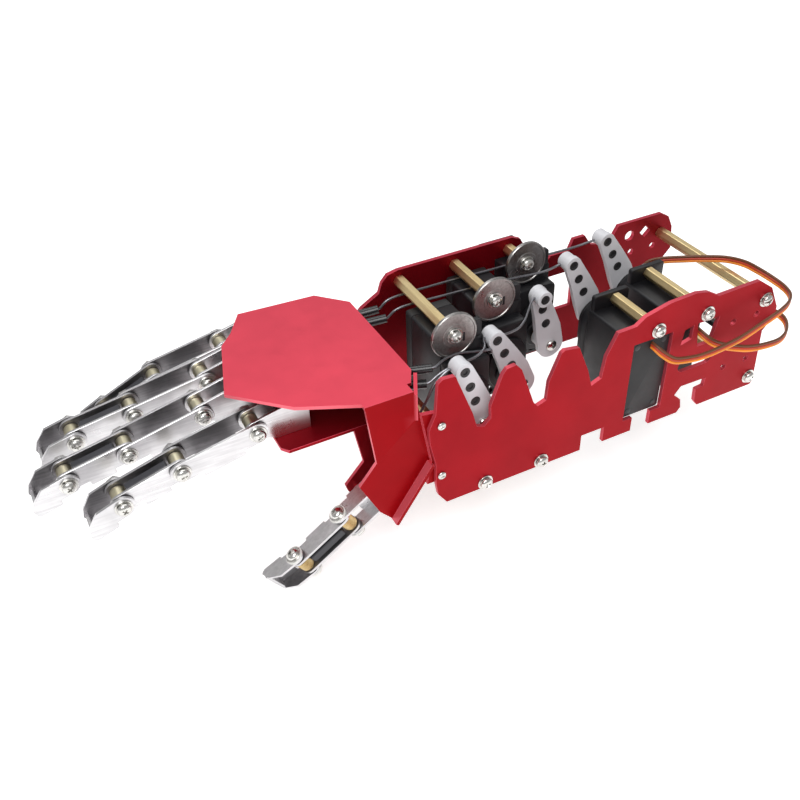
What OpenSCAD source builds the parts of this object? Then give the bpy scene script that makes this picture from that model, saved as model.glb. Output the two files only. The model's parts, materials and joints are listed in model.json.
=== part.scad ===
// Five-finger servo hand on a two-plate forearm, with push wires from servo
// arms in the forearm to the fingers. Millimetres, +Z up, +X toward the elbow,
// fingers toward -X, the thumb on the -Y side.

/* [Forearm frame] */
// Thickness of the two side plates
plate_t = 2; // [1.5:0.5:3]
// Clear width between the side plates
frame_gap = 70; // [66:1:76]
// Width of the hexagonal brass standoffs across their flats
standoff_af = 5; // [4:0.5:5.5]
// Diameter of the clamp discs on the servo tabs
disc_d = 20.5; // [16:0.5:22]

/* [Elbow bolt pattern] */
// Hole diameter of the elbow mounting pattern
elbow_hole_d = 3.2; // [3:0.1:4]
// Hole spacing of the elbow pattern along X
elbow_dx = 13.4; // [10:0.2:16]
// Hole spacing of the elbow pattern along Z
elbow_dz = 24.6; // [20:0.2:28]

/* [Servos] */
// Length of a servo case
servo_l = 40.4; // [38:0.1:42]
// Width of a servo case
servo_w = 20; // [19:0.1:20.5]
// Depth of a servo case below its mounting tabs
servo_below = 28; // [24:0.5:28.5]
// Depth of a servo case above its mounting tabs
servo_above = 7.5; // [6:0.5:8]
// Distance between the tab holes along the case
tab_pitch = 48.4; // [47:0.1:50]

/* [Servo arms] */
// Distance from the output shaft to the outermost hole
arm_r = 30; // [26:1:32]
// Thickness of an arm
arm_t = 2.6; // [2:0.1:3]

/* [Palm] */
// Height of the palm cover's top above the frame's bottom edge
cover_z = 60; // [58:0.5:60]
// Height of the palm floor's top above the frame's bottom edge
floor_z = 39; // [37:0.5:40]
// Sheet thickness of the palm shell
sheet_t = 1.5; // [1:0.1:1.8]

/* [Fingers] */
// Distance from knuckle to middle joint
len_proximal = 31.5; // [29:0.5:33]
// Distance from middle joint to end joint
len_middle = 24.5; // [22:0.5:26]
// Outer width of the wide channels
wide_w = 13; // [12:0.2:14]
// Outer width of the narrow channels
narrow_w = 9.4; // [8.6:0.1:9.6]
// Wall thickness of the channels
wall_t = 1.2; // [1:0.1:1.4]
// Diameter of the joint screws
screw_d = 3; // [2.5:0.5:3]

/* [Hidden] */
$fn = 40;

// The model is drawn from the near plate's lower front corner, then moved so that
// the origin is the bottom centre of the whole hand.
origin = [8.9, 48.2, -28];

// Faces of the side plates
far_in = plate_t + frame_gap;

// Side plate outline, shared by both plates below the top edge: [x, z]
front_edge = [[0, 0], [-4, 6], [-5, 12.5], [-5, 23], [-7.5, 34.5], [-8, 41.5], [-5, 48.5]];
rear_edge = [[170, 42.5], [170.5, 37.5], [164.5, 31], [165, 23.5], [166.5, 1.5], [165, 0]];
near_top = [[-4, 63], [-2, 64.5], [3.5, 64], [11.5, 43], [13.5, 35.5], [17, 34], [20, 37],
    [19.7, 43], [24.7, 57], [26.5, 59.2], [30.7, 59.5], [33.5, 56.2], [40.3, 37],
    [42.3, 34.5], [46.5, 36], [47, 45], [52, 57.5], [53.5, 58.5], [60.7, 57.3],
    [66.5, 43.7], [69, 35], [74, 37], [75.2, 47.5], [80, 57.8], [89, 58], [93.5, 61.3],
    [106, 64.2], [119.5, 64.8], [126, 63.4], [132.5, 59.5], [155.5, 60], [164, 54]];
far_top = [[-3.5, 54], [-2, 55.5], [6.5, 60.4], [8, 65], [11, 68.3], [16, 69.3], [74, 69.3],
    [78.5, 67.5], [81, 63], [82, 52], [85, 45.5], [90, 46], [96, 53.5], [106.4, 53.5],
    [108.7, 59], [115.3, 59], [119, 53.5], [124, 52], [128, 50.5], [131.5, 53],
    [135, 59], [161, 59], [166, 56], [169, 50]];

// Bottom-edge notch with undercut sides: [x, z]
hook_notch = [[120, -1], [122.8, 2.5], [121.8, 7.4], [117.5, 11.3], [120.6, 15.3],
    [135, 15], [134.5, 10.5], [130.2, 10], [130.7, 3], [133.7, -1]];

// Servo case ends, measured from the output shaft along the case
case_near = -10.2;
case_far = case_near + servo_l;
case_mid = (case_near + case_far) / 2;
tab_end = 7.2;
tab_t = 2.5;
// Length of the raised gear cover past the shaft
gear_l = 23.4;
window_gap = 0.3;

// Servo output shafts: [x, z, y of the tabs' shaft-side face, side the shaft faces]
shafts = [[20.5, 30, 24.6, -1], [48.4, 30, 39.3, -1], [75.5, 30, 58.1, -1],
    [99.6, 38, 32.1, 1], [127.5, 38, 42.3, 1]];
// Sideways place of each clamp on its servo's tab
clamp_dx = [-4.2, -4.5, -3.6, 1.7, 0.2];
// Middle plane, lean toward the fingers and side of the wire boss of each servo arm
arm_y = [7.7, 22, 40, 44, 55];
arm_lean = [17.5, 26.5, 16, 24, 27];
boss_side = [1, 1, -1, 1, 1];
boss_r = 3.7;
boss_l = 4.6;
arm_tip_r = 4;
arm_hole_r = 2.1;
arm_holes = [arm_r - 16.6, arm_r - 8.3, arm_r];

// Standoffs across the whole frame: [x, z]
cross_rods = [[161.5, 48.7], [162.3, 6], [18.4, 3], [46.3, 3]];
// Screws that hold the palm shell to the plates: [x, z]
palm_screws = [[-2.6, 42.3], [-2.5, 16.3]];
elbow_mid = [151.3, 29.8];

// Finger joints: [knuckle x, middle plane y, three pitches below horizontal]
fingers = [[-67.7, 32.7, 11.8, 16.2, 21], [-83, 52.7, 12.5, 11.4, 16.5],
    [-75, 73, 9.6, 9, 14], [-61, 89.5, 11, 24.6, 27]];
knuckle_z = 45.5;
// Thumb's first joint, and its pitch below horizontal
thumb_at = [-41.1, 10, 0];
thumb_pitch = 33.9;
thumb_tip_bend = 6;

// Channel section: end radius, depth below the pin line
end_r = 4.5;
web_z = -6.6;
thumb_end_r = 3.5;
thumb_web_z = -4.6;
pin_clear = 0.05;

// Push wires: routes through hand-picked bends
wire_r = 0.55;
sleeve_r = 2;
thumb_route = [[6.7, 11.5, 58.2], [3.5, 11.3, 56.5], [0, 11, 53.5], [-3.2, 10.5, 48],
    [-7, 10.3, 42], [-10.8, 10, 36], [-12.6, 10, 30], [-13.6, 10, 24], [-16.5, 10, 18.5],
    [-22, 10, 14]];
index_route = [[30.1, 23.9, 57.3], [28.9, 20.9, 57.3], [27.2, 18.6, 56.9],
    [24.6, 17.6, 56], [20.9, 17.2, 55.2], [14, 17, 54.9], [9.4, 17, 54.4],
    [4.5, 17.2, 52.2], [1, 17.3, 50.2]];
middle_route = [[62.4, 36.6, 59.4], [58, 33.4, 56.6], [55, 31, 54.6], [51, 29.6, 52.6],
    [45, 29.3, 52], [36.5, 29.2, 51.9], [32.8, 28.9, 52.1], [31.6, 27, 52.2],
    [31.6, 23, 52.3], [31.6, 20.6, 52.4], [31.5, 19.6, 53.4], [30.9, 19.4, 55],
    [28, 19.6, 55.1], [24, 20.4, 55.6], [16, 20.4, 57.4], [9, 19.4, 57.4], [4, 17.8, 56.5]];
ring_route = [[82.6, 47.9, 64.6], [78, 50.5, 61], [58, 54, 61], [9.5, 57.5, 61],
    [4, 58.5, 56.5]];
pinky_route = [[109, 59.2, 64], [92, 62.5, 61], [9.5, 66, 61], [4, 66.5, 56.5]];
wire_ends = [index_route[8], middle_route[16], ring_route[4], pinky_route[3]];
// Black sleeves over the wires in the wrist, from each wire's end to its knuckle
sleeve_to = [[-44, 32.7, 50.5], [-58.5, 52.7, 46.5], [-50.5, 71, 48.5], [-38, 82, 48.5]];

// Ribbon leads of the two rear servos
lead_r = 1.8;
front_lead = [[100, 1.3, 44.5], [100.2, -1.6, 44.2], [102.5, -4.5, 41.8], [107, -6.4, 38.7],
    [114, -7.4, 37.4], [121, -8.2, 37.1], [131, -8.7, 38.1], [142, -8.8, 39.9],
    [152, -8.6, 43], [162, -8, 45.8], [170, -5.5, 46.8], [175.5, -1, 46.8],
    [177.5, 5, 47.3], [176, 11.5, 49], [172.5, 17.5, 51.5], [168, 22, 54],
    [161.5, 27, 55.5], [154, 33, 55], [147, 38.5, 54], [140, 43.5, 53],
    [134.5, 46.5, 51.7], [132, 47.5, 49]];
rear_lead = [[126.6, 11.4, 43], [126.9, 6.5, 42.4], [127.5, 1, 41.2], [129, -2.2, 39.4],
    [132, -3.9, 37.2], [136.5, -4.9, 35], [142, -6.5, 33.2], [148.5, -8.4, 31.8],
    [157, -9.4, 31], [166, -9, 30.5], [173, -6, 31], [177, -1, 32.5], [176.5, 4, 34],
    [172, 7.5, 35], [165, 9.8, 35.2], [158, 11.2, 35.2]];

function unit(v) = v / norm(v);
function route_dir(p, i) = unit(p[min(i + 1, len(p) - 1)] - p[max(i - 1, 0)]);
function ring_points(c, d, r, n) =
    let (side = unit(cross(d, [0.05, 0.02, 1])), up = cross(side, d))
    [for (k = [0 : n - 1]) c + r * (cos(360 * k / n) * side + sin(360 * k / n) * up)];

// Round tube with flat ends along a list of points
module tube(p, r, n = 8) {
    rings = len(p);
    pts = [for (i = [0 : rings - 1]) each ring_points(p[i], route_dir(p, i), r, n)];
    side = [for (i = [0 : rings - 2], k = [0 : n - 1])
        let (a = i * n + k, b = i * n + (k + 1) % n) each [[a, b, b + n], [a, b + n, a + n]]];
    cap0 = [[for (k = [n - 1 : -1 : 0]) k]];
    cap1 = [[for (k = [0 : n - 1]) (rings - 1) * n + k]];
    polyhedron(points = pts, faces = concat(side, cap0, cap1), convexity = 8);
}

module place() translate(-origin) children();

// Upright sheet in the XZ plane, its lower face at y0
module sheet_xz(y0, t) translate([0, y0 + t, 0]) rotate([90, 0, 0]) linear_extrude(t)
    children();

// Cylinder along +Y from y0
module along_y(x, z, r, y0, l, n = $fn) translate([x, y0, z]) rotate([-90, 0, 0])
    cylinder(h = l, r = r, $fn = n);

// Hexagonal bar along +Y with a flat on top
module hex_y(x, z, af, y0, l) translate([x, y0, z]) rotate([-90, 0, 0])
    cylinder(h = l, r = af / sqrt(3), $fn = 6);

module elbow_holes() for (sx = [-1, 1], sz = [-1, 1])
    translate([elbow_mid[0] + sx * elbow_dx / 2, elbow_mid[1] + sz * elbow_dz / 2])
        circle(d = elbow_hole_d);

module plate_screw_holes() {
    for (p = cross_rods) translate(p) circle(d = screw_d + 0.2);
    for (p = palm_screws) translate(p) circle(d = 2.2);
}

// Opening for the bottom end of a servo case, at shaft s
module servo_window(s) {
    lo = s[3] < 0 ? s[1] + case_near : s[1] - case_far;
    translate([s[0] - servo_w / 2 - window_gap, lo - window_gap])
        square([servo_w + 2 * window_gap, servo_l + 2 * window_gap]);
}

module near_plate() color([0.78, 0.10, 0.17]) place() sheet_xz(0, plate_t) difference() {
    polygon(concat(front_edge, near_top, rear_edge));
    servo_window(shafts[3]);
    translate([94.5, -1]) square([10, 12]);
    translate([67, -1]) square([12, 9.3]);
    polygon(hook_notch);
    polygon([[115.5, 39.5], [121.3, 41], [121.3, 48.2], [116.5, 47]]);
    polygon([[125.5, 35.5], [133, 35.5], [135.5, 48.2], [123.5, 48.2]]);
    translate([119.5, 27]) circle(r = 3);
    translate([132.5, 27]) circle(r = 3);
    translate([119.5, 24]) square([13, 6]);
    elbow_holes();
    plate_screw_holes();
    for (i = [3, 4]) translate([shafts[i][0] + clamp_dx[i], clamp_z(i)]) circle(r = 1.6);
}

// Height of the upper tab hole of servo i
function clamp_z(i) = shafts[i][1] - shafts[i][3] * case_mid + tab_pitch / 2;

module far_plate() color([0.62, 0.06, 0.12]) place() sheet_xz(far_in, plate_t)
difference() {
    polygon(concat(front_edge, far_top, rear_edge));
    servo_window(shafts[2]);
    translate([94.5, -1]) square([10, 12]);
    translate([67, -1]) square([12, 9.3]);
    polygon(hook_notch);
    translate([96, 22]) square([14, 20]);
    translate([142.5, 51.5]) circle(r = 2.6);
    translate([152, 51.5]) rotate(45) square(4.4, center = true);
    elbow_holes();
    plate_screw_holes();
    for (i = [0, 1, 2]) translate([shafts[i][0] + clamp_dx[i], clamp_z(i)])
        circle(r = 1.6);
}

// Palm cover sheet outline, seen from above: [x, y]
cover_edge = [[-6.5, 17], [-7, 73], [-18.5, 85.3], [-52.6, 87.6], [-60, 75.2],
    [-66.2, 68.3], [-75.4, 37.3], [-55, 17.2], [-32.6, 6.5], [-32.6, 4], [-12.3, 4],
    [-12.3, 9.5], [-10.5, 9.5]];
// Thumb-side panel of the cover: [x, z]
panel_edge = [[-32.6, cover_z], [-12.3, cover_z], [-9.9, 49], [-5.4, 22.5],
    [-22.5, -2.9], [-28.7, 4.3], [-36.8, 21.6], [-29, 31]];
panel_y = 4;
lip = 4;

module palm_cover() color([0.85, 0.25, 0.33]) place() {
    translate([0, 0, cover_z - sheet_t]) linear_extrude(sheet_t) polygon(cover_edge);
    sheet_xz(panel_y, sheet_t) polygon(panel_edge);
    // Stiffening lip that turns outward along the lower rear edge
    sheet_xz(panel_y - lip, lip + sheet_t)
        polygon([[-5.4, 22.5], [-22.5, -2.9], [-23.7, -1.9], [-6.8, 23.2]]);
    // Tab behind the near side plate
    difference() {
        sheet_xz(plate_t, panel_y - plate_t)
            polygon([[-10.2, 49], [-5.8, 23.5], [-8, 12], [1.5, 12], [1.5, 47]]);
        for (p = palm_screws) along_y(p[0], p[1], 1.1, plate_t - 1, 6);
    }
    // Corner flange between the panel and the cover's rear edge
    translate([-12.3, panel_y, 46]) rotate(63)
        translate([0, -sheet_t, 0]) cube([14, sheet_t, cover_z - 46 - sheet_t]);
}

// Palm floor outline: [x, y], and its thumb-side wall: [x, z]
floor_edge = [[-7, 18.7], [-58.7, 18.7], [-61, 22], [-61, 40], [-76, 47], [-76, 60],
    [-68.2, 66], [-68.2, 79], [-54.2, 81.5], [-54.2, 95.5], [-38, 95.5], [-18, 86],
    [-9, 74.5], [-9, 72], [-7, 72]];
wall_edge = [[-31.8, floor_z], [-28.3, 20], [-37, 10.5], [-36, 7], [-28, -6], [-22, -6],
    [-8, 16], [-8, floor_z]];
floor_wall_y = 18.7;

module palm_floor() color([0.55, 0.05, 0.10]) place() {
    translate([0, 0, floor_z - sheet_t]) linear_extrude(sheet_t) polygon(floor_edge);
    sheet_xz(floor_wall_y, sheet_t) polygon(wall_edge);
    // Wrist tab inside the far side plate
    difference() {
        sheet_xz(far_in - sheet_t, sheet_t)
            polygon([[-14, floor_z], [-14, 45], [1.5, 47], [1.5, 12], [-7, 12]]);
        for (p = palm_screws) along_y(p[0], p[1], 1.1, far_in - 3, 6);
    }
}

// Posts that carry the cover on the floor
module palm_posts() color([0.82, 0.68, 0.38]) place()
    for (p = [[-26, 42.5], [-14, 55.8], [-40, 60], [-60, 63]])
        translate([p[0], p[1], floor_z]) rotate(30)
            cylinder(h = cover_z - sheet_t - floor_z, r = standoff_af / sqrt(3), $fn = 6);

// Side wall of a channel between two pins, in the XZ plane
module wall_shape(l, r, wz, hole) difference() {
    union() {
        circle(r = r);
        translate([-l, 0]) circle(r = r);
        translate([-l, -r]) square([l, 2 * r]);
        translate([-l + 7, wz]) square([l - 14, -wz]);
    }
    circle(r = hole);
    translate([-l, 0]) circle(r = hole);
}

// Channel of outer width w, from the pin at the origin to a pin at -X
module channel(l, w, r = end_r, wz = web_z) {
    hole = screw_d / 2 + pin_clear;
    for (y0 = [-w / 2, w / 2 - wall_t]) sheet_xz(y0, wall_t) wall_shape(l, r, wz, hole);
    translate([-l + 7, -w / 2, wz]) cube([l - 14, w, wall_t]);
}

// End link: rounded at the pin, bevelled at the tip
module tip_channel(w, r = end_r, wz = web_z) {
    hole = screw_d / 2 + pin_clear;
    for (y0 = [-w / 2, w / 2 - wall_t]) sheet_xz(y0, wall_t) difference() {
        union() {
            circle(r = r);
            polygon([[0, r], [-9, r], [-14.2, 0.6], [-16.4, -3], [-16, wz + 1],
                [-14.6, wz], [-6, wz], [-6, -r], [0, -r]]);
        }
        circle(r = hole);
    }
    translate([-14.6, -w / 2, wz]) cube([8.6, w, wall_t]);
    translate([-15.9, -w / 2, wz + 0.6]) rotate([0, 8, 0]) cube([wall_t, w, 4]);
}

// Screw along Y through a joint, with washers, a nut and the spacer between walls
module joint_screw(w, inner_w) color([0.82, 0.82, 0.80]) {
    along_y(0, 0, screw_d / 2, -w / 2 - 1, w + 3);
    along_y(0, 0, 3.6, -w / 2 - 0.6, 0.6);
    along_y(0, 0, 3.6, w / 2, 0.6);
    along_y(0, 0, 2.8, -w / 2 - 2.7, 2.1);
    hex_y(0, 0, 5.5, w / 2 + 0.6, 2.4);
    along_y(0, 0, 3.1, -inner_w / 2 + 0.3, inner_w - 0.6);
}

// Frames along a finger: at the knuckle, the middle joint and the end joint
module at_knuckle(f) place() translate([f[0], f[1], knuckle_z]) children();
module at_link(f, n) at_knuckle(f) rotate([0, -f[2], 0])
    if (n == 0) children();
    else translate([-len_proximal, 0, 0]) rotate([0, f[2] - f[3], 0])
        if (n == 1) children();
        else translate([-len_middle, 0, 0]) rotate([0, f[3] - f[4], 0]) children();

module at_thumb(n) place() translate(thumb_at) rotate([0, -thumb_pitch, 0])
    rotate([90, 0, 0])
        if (n == 1) children();
        else translate([-len_middle, 0, 0]) rotate([0, -thumb_tip_bend, 0]) children();

inner_w = narrow_w - 2 * wall_t;

module proximal(f) color([0.80, 0.81, 0.82]) at_link(f, 0) channel(len_proximal, wide_w);
module middle(f) color([0.78, 0.79, 0.80]) at_link(f, 1) channel(len_middle, narrow_w);
module distal(f) color([0.82, 0.83, 0.84]) at_link(f, 2) tip_channel(wide_w);
module finger_screws(f) at_link(f, 0) {
    joint_screw(wide_w, inner_w);
    translate([-len_proximal, 0, 0]) joint_screw(wide_w, inner_w);
}
module tip_screw(f) at_link(f, 2) joint_screw(wide_w, inner_w);

// Dark bar between the walls of a narrow channel, on a foot on the channel's web
module coupling_bar(wz) color([0.16, 0.16, 0.18]) {
    translate([-len_middle + 3.6, -1.8, -1.6]) cube([len_middle - 7.2, 3.6, 4.8]);
    foot_z = wz + wall_t;
    translate([-len_middle / 2 - 3, -1.8, foot_z]) cube([6, 3.6, -1.6 - foot_z]);
}
module link(f) at_link(f, 1) coupling_bar(web_z);

// Bracket that carries a knuckle on the palm floor
module knuckle_bracket() {
    back = 22;
    foot = floor_z - knuckle_z;
    for (y0 = [-narrow_w / 2, narrow_w / 2 - wall_t]) sheet_xz(y0, wall_t) difference() {
        union() {
            circle(r = end_r);
            polygon([[0, end_r], [back - 4, 9], [back, 9], [back, foot], [8, foot],
                [3, -end_r], [0, -end_r]]);
        }
        circle(r = screw_d / 2 + pin_clear);
    }
    translate([8, -narrow_w / 2, foot]) cube([back - 8, narrow_w, wall_t]);
}

module knuckle_brackets() color([0.80, 0.80, 0.80]) for (f = fingers) at_knuckle(f)
    knuckle_bracket();

module thumb_base() color([0.80, 0.80, 0.80]) at_thumb(1) translate([len_proximal, 0, 0]) {
    channel(len_proximal, wide_w, thumb_end_r, thumb_web_z);
    // Bosses that hold the base on the palm floor's wall
    boss_l = floor_wall_y - thumb_at[1] + thumb_web_z;
    for (x = [-10, -20]) translate([x, 0, thumb_web_z - boss_l]) cylinder(h = boss_l, r = 2.5);
}
module thumb_middle() color([0.80, 0.80, 0.80]) at_thumb(1)
    channel(len_middle, narrow_w, thumb_end_r, thumb_web_z);
module thumb_distal() color([0.82, 0.82, 0.82]) at_thumb(2)
    tip_channel(wide_w, thumb_end_r, thumb_web_z);
module thumb_screw() at_thumb(1) joint_screw(wide_w, inner_w);
module thumb_tip_screw() at_thumb(2) joint_screw(wide_w, inner_w);
module thumb_link() at_thumb(1) coupling_bar(thumb_web_z);

// Servo with its output shaft on the local Z axis and its case along local X;
// the tabs' shaft-side face is z = 0
module servo(dx) color([0.10, 0.10, 0.11]) {
    difference() {
        union() {
            translate([case_near, -servo_w / 2, -tab_t - servo_below])
                cube([servo_l, servo_w, servo_below + tab_t]);
            cylinder(h = servo_above, r = servo_w / 2);
            translate([0, -servo_w / 2, 0]) cube([gear_l, servo_w, servo_above]);
            translate([case_near - tab_end, -servo_w / 2 + 0.8, -tab_t])
                cube([servo_l + 2 * tab_end, servo_w - 1.6, tab_t]);
            cylinder(h = servo_above + 1.2, r = 6.5);
            cylinder(h = servo_above + 2.2, r = 3);
        }
        for (s = [-1, 1]) translate([case_mid + s * tab_pitch / 2, dx, -tab_t - 1])
            cylinder(h = tab_t + 2, r = 1.6);
    }
}

module place_servo(i) {
    s = shafts[i];
    place() translate([s[0], s[2], s[1]]) rotate([-90 * s[3], 0, 0]) rotate(90)
        servo(-clamp_dx[i]);
}

module cross_standoffs() color([0.80, 0.66, 0.36]) place()
    for (p = cross_rods) hex_y(p[0], p[1], standoff_af, plate_t, frame_gap);

module servo_standoffs() color([0.80, 0.66, 0.36]) place() for (i = [0 : 4]) {
    s = shafts[i];
    x = s[0] + clamp_dx[i];
    if (s[3] < 0) hex_y(x, clamp_z(i), standoff_af, s[2] + tab_t, far_in - s[2] - tab_t);
    else hex_y(x, clamp_z(i), standoff_af, plate_t, s[2] - tab_t - plate_t);
}

module clamp_discs() color([0.62, 0.62, 0.63]) place() for (i = [0 : 2]) {
    x = shafts[i][0] + clamp_dx[i];
    y = shafts[i][2];
    along_y(x, clamp_z(i), disc_d / 2, y - 1.6, 1.6);
    along_y(x, clamp_z(i), 3.5, y - 2.2, 0.6);
    along_y(x, clamp_z(i), 2.75, y - 4.3, 2.1);
}

// Screw heads and washers on both plates, and the two tab screws of the rear servos
module frame_screws() color([0.78, 0.74, 0.66]) place() {
    near_heads = concat(cross_rods, [for (i = [3, 4]) [shafts[i][0] + clamp_dx[i],
        clamp_z(i)]]);
    far_heads = concat(cross_rods, [for (i = [0 : 2]) [shafts[i][0] + clamp_dx[i],
        clamp_z(i)]]);
    for (p = near_heads) {
        along_y(p[0], p[1], 3.5, -0.6, 0.6);
        along_y(p[0], p[1], 2.75, -2.6, 2);
    }
    for (p = far_heads) {
        along_y(p[0], p[1], 3.5, far_in + plate_t, 0.6);
        along_y(p[0], p[1], 2.75, far_in + plate_t + 0.6, 2);
    }
    for (p = palm_screws) {
        along_y(p[0], p[1], 1.9, -1.3, 1.3);
        along_y(p[0], p[1], 1.9, far_in + plate_t, 1.3);
    }
    for (i = [3, 4]) along_y(shafts[i][0] + clamp_dx[i], clamp_z(i), 2.75, shafts[i][2], 2);
}

// Straight round bar between two points
module segment(a, b, r) {
    d = b - a;
    translate(a) rotate([0, acos(d[2] / norm(d)), atan2(d[1], d[0])])
        cylinder(h = norm(d), r = r, $fn = 16);
}

module push_wire(p) color([0.45, 0.45, 0.47]) place() tube(p, wire_r);

module wire_sleeves() color([0.07, 0.07, 0.08]) place()
    for (i = [0 : 3]) segment(wire_ends[i] - [0.8, 0, 0], sleeve_to[i], sleeve_r);

module servo_lead_front() color([0.85, 0.35, 0.08]) place() tube(front_lead, lead_r);
module servo_lead_rear() color([0.85, 0.35, 0.08]) place() tube(rear_lead, lead_r);

// Three-way plug on the rear lead
module lead_plug() color([0.08, 0.08, 0.08]) place() translate([143.5, 7.4, 33.9])
    cube([14, 7.8, 2.6]);

// Servo arm in the XZ plane, pivot at the origin, leaning by a degrees toward -X
module servo_arm(i) color([0.88, 0.88, 0.90]) {
    s = shafts[i];
    hub = s[2] + s[3] * servo_above;
    near = boss_side[i] > 0 ? -arm_t / 2 : -arm_t / 2 - boss_l;
    place() translate([s[0], arm_y[i], s[1]]) rotate([0, -arm_lean[i], 0]) difference() {
        union() {
            sheet_xz(-arm_t / 2, arm_t) union() {
                circle(r = 6.5);
                translate([0, arm_r]) circle(r = arm_tip_r);
                polygon([[-6.5, 0], [-6, 8], [-4.5, 20], [-arm_tip_r, arm_r],
                    [arm_tip_r, arm_r], [5.6, 20], [7, 9], [6.5, 0]]);
            }
            along_y(0, arm_r, boss_r, boss_side[i] > 0 ? arm_t / 2 : near, boss_l);
        }
        // The tip's hole is blind
        for (r = arm_holes)
            along_y(0, r, arm_hole_r, near - 1, r < arm_r ? arm_t + boss_l + 2 : arm_t + 1);
    }
    // Splined hub between the servo and the arm
    lo = min(hub + s[3] * 2.6, arm_y[i] + s[3] * -arm_t / 2);
    hi = max(hub + s[3] * 2.6, arm_y[i] + s[3] * -arm_t / 2);
    place() along_y(s[0], s[1], 4.5, lo, hi - lo);
}

near_plate();
far_plate();
palm_cover();
palm_floor();
palm_posts();
knuckle_brackets();
thumb_base();
place_servo(0);  // servo_thumb
place_servo(1);  // servo_index
place_servo(2);  // servo_middle
place_servo(3);  // servo_ring
place_servo(4);  // servo_pinky
cross_standoffs();
servo_standoffs();
clamp_discs();
frame_screws();
wire_sleeves();
push_wire(thumb_route);  // push_wire_thumb
push_wire(index_route);  // push_wire_index
push_wire(middle_route);  // push_wire_middle
push_wire(ring_route);  // push_wire_ring
push_wire(pinky_route);  // push_wire_pinky
servo_lead_front();
servo_lead_rear();
lead_plug();
servo_arm(0);  // arm_thumb
servo_arm(1);  // arm_index
servo_arm(2);  // arm_middle
servo_arm(3);  // arm_ring
servo_arm(4);  // arm_pinky
proximal(fingers[0]);  // index_proximal
middle(fingers[0]);  // index_middle
distal(fingers[0]);  // index_distal
finger_screws(fingers[0]);  // index_screws
tip_screw(fingers[0]);  // index_tip_screw
link(fingers[0]);  // index_link
proximal(fingers[1]);  // middle_proximal
middle(fingers[1]);  // middle_middle
distal(fingers[1]);  // middle_distal
finger_screws(fingers[1]);  // middle_screws
tip_screw(fingers[1]);  // middle_tip_screw
link(fingers[1]);  // middle_link
proximal(fingers[2]);  // ring_proximal
middle(fingers[2]);  // ring_middle
distal(fingers[2]);  // ring_distal
finger_screws(fingers[2]);  // ring_screws
tip_screw(fingers[2]);  // ring_tip_screw
link(fingers[2]);  // ring_link
proximal(fingers[3]);  // pinky_proximal
middle(fingers[3]);  // pinky_middle
distal(fingers[3]);  // pinky_distal
finger_screws(fingers[3]);  // pinky_screws
tip_screw(fingers[3]);  // pinky_tip_screw
link(fingers[3]);  // pinky_link
thumb_middle();
thumb_distal();
thumb_screw();
thumb_tip_screw();
thumb_link();
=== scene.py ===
"""Robot hand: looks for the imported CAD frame. Metres, row frame."""
import json
import math
import random

import bmesh
import bpy
from mathutils import Matrix, Vector


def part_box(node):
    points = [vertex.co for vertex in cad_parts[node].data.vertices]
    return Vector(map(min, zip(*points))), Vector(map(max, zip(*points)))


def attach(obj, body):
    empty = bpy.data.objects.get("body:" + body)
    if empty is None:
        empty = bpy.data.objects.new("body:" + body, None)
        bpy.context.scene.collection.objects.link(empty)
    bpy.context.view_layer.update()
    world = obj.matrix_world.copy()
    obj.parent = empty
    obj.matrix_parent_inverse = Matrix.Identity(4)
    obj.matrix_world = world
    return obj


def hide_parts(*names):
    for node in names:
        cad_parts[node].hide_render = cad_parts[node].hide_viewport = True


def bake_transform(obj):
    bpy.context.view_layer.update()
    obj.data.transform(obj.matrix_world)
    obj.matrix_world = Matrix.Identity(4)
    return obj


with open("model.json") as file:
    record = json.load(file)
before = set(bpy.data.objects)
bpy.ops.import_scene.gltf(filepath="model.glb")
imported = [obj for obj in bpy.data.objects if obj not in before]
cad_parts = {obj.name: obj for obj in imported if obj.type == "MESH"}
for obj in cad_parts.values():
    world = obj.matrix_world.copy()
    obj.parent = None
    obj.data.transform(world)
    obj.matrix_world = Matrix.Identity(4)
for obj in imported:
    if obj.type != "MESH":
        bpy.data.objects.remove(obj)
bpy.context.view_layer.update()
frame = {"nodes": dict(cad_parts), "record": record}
rng = random.Random(7)
nodes = frame["nodes"]
joints = {j["name"]: j for j in frame["record"]["behaviour"]["joints"]}
node_body = {n: b for b, ns in frame["record"]["behaviour"]["bodies"].items() for n in ns}
node_slot = {s["node"]: s["material_slot"] for s in frame["record"]["subparts"]}
MM = 0.001
ROOT = "frame"


def P(x, y, z):
    """A point of the drawing frame of part.scad, in mm, as a row frame point in metres."""
    return Vector((x - 8.9, y - 48.2, z + 28)) * MM


# ---------------------------------------------------------------- camera
cam_data = bpy.data.cameras.new("camera")
cam_data.lens = 41.67
cam_data.sensor_width = 36
cam_data.shift_y = -0.00625
cam_data.clip_start = 0.01
camera = bpy.data.objects.new("camera", cam_data)
bpy.context.scene.collection.objects.link(camera)
look = Vector((0.342, 0.708, -0.618)).normalized()
right = Vector((0.89, -0.455, -0.0275))
right = (right - look * right.dot(look)).normalized()
up = right.cross(look)
camera.matrix_world = Matrix((
    (right.x, up.x, -look.x, -0.1446), (right.y, up.y, -look.y, -0.2879),
    (right.z, up.z, -look.z, 0.3014), (0, 0, 0, 1)))
bpy.context.scene.camera = camera


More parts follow.
